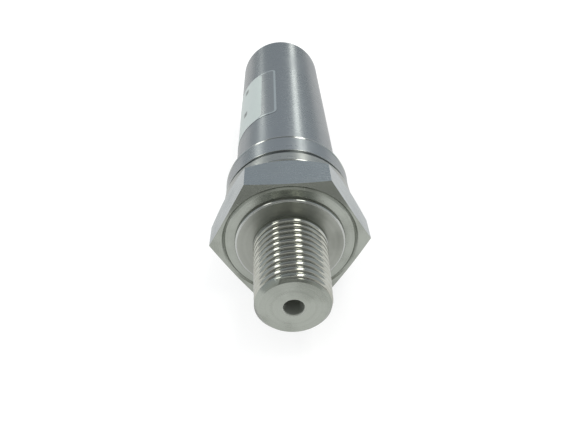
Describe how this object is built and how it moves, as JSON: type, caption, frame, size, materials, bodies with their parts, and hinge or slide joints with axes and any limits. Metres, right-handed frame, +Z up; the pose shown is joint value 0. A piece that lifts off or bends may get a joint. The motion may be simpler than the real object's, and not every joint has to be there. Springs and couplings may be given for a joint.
{
  "type": "pressure transmitter",
  "caption": "Stainless screw-in pressure transmitter: tapered threaded stud with port bore, hexagon, round sleeve case with a sticker, and a round threaded plug.",
  "frame": {"origin": "on the axis, in the plane of the hexagon's front face, inside the port bore", "axes": "+Y along the axis from the stud towards the plug, +Z up through the middle of a hexagon flat"},
  "size_m": [0.0312, 0.1179, 0.027],
  "materials": {
    "stainless_turned": "turned and milled stainless steel, fine turning marks",
    "stainless_case": "smooth drawn stainless steel, lightly brushed",
    "nickel_brass": "nickel plated brass",
    "label_film": "pale printed polyester film",
    "seal_rubber": "black seal rubber",
    "capsule_steel": "fine turned stainless steel",
    "diaphragm_foil": "bright rolled foil",
    "gold_plate": "gold plated contacts",
    "bead_glass": "sealing glass",
    "silicon": "polished silicon",
    "ceramic_white": "alumina ceramic",
    "chip_black": "black moulding compound",
    "chip_tan": "tan ceramic capacitor",
    "board_green": "green solder mask",
    "ferrite_grey": "grey ferrite",
    "spring_bronze": "phosphor bronze strip",
    "holder_plastic": "natural nylon",
    "carrier_plastic": "black glass-filled nylon",
    "wire_jacket": "insulated wire"
  },
  "bodies": {
    "root": {"case": "stainless_case", "case_o_ring": "seal_rubber", "chip_capacitors": "chip_tan", "chip_resistors": "chip_black", "compensation_board": "ceramic_white", "contact_carrier": "carrier_plastic", "contact_pins": "gold_plate", "diaphragm": "diaphragm_foil", "diaphragm_ring": "capsule_steel", "end_cap": "stainless_turned", "end_cap_o_ring": "seal_rubber", "fill_ball": "capsule_steel", "filter_choke": "ferrite_grey", "front_holder": "holder_plastic", "glass_pedestal": "bead_glass", "glass_seals": "bead_glass", "ground_clip": "spring_bronze", "header_pins": "gold_plate", "label": "label_film", "main_board": "board_green", "output_transistor": "chip_black", "plug_nut": "nickel_brass", "plug_o_ring": "seal_rubber", "plug_shell": "nickel_brass", "plug_wires": "wire_jacket", "process_connection": "stainless_turned", "protection_diodes": "chip_black", "rear_holder": "holder_plastic", "retaining_ring": "capsule_steel", "sensor_body": "capsule_steel", "sensor_die": "silicon", "sensor_o_ring": "seal_rubber", "sensor_wires": "wire_jacket", "signal_chip": "chip_black", "trim_resistors": "chip_black"}
  },
  "joints": []
}
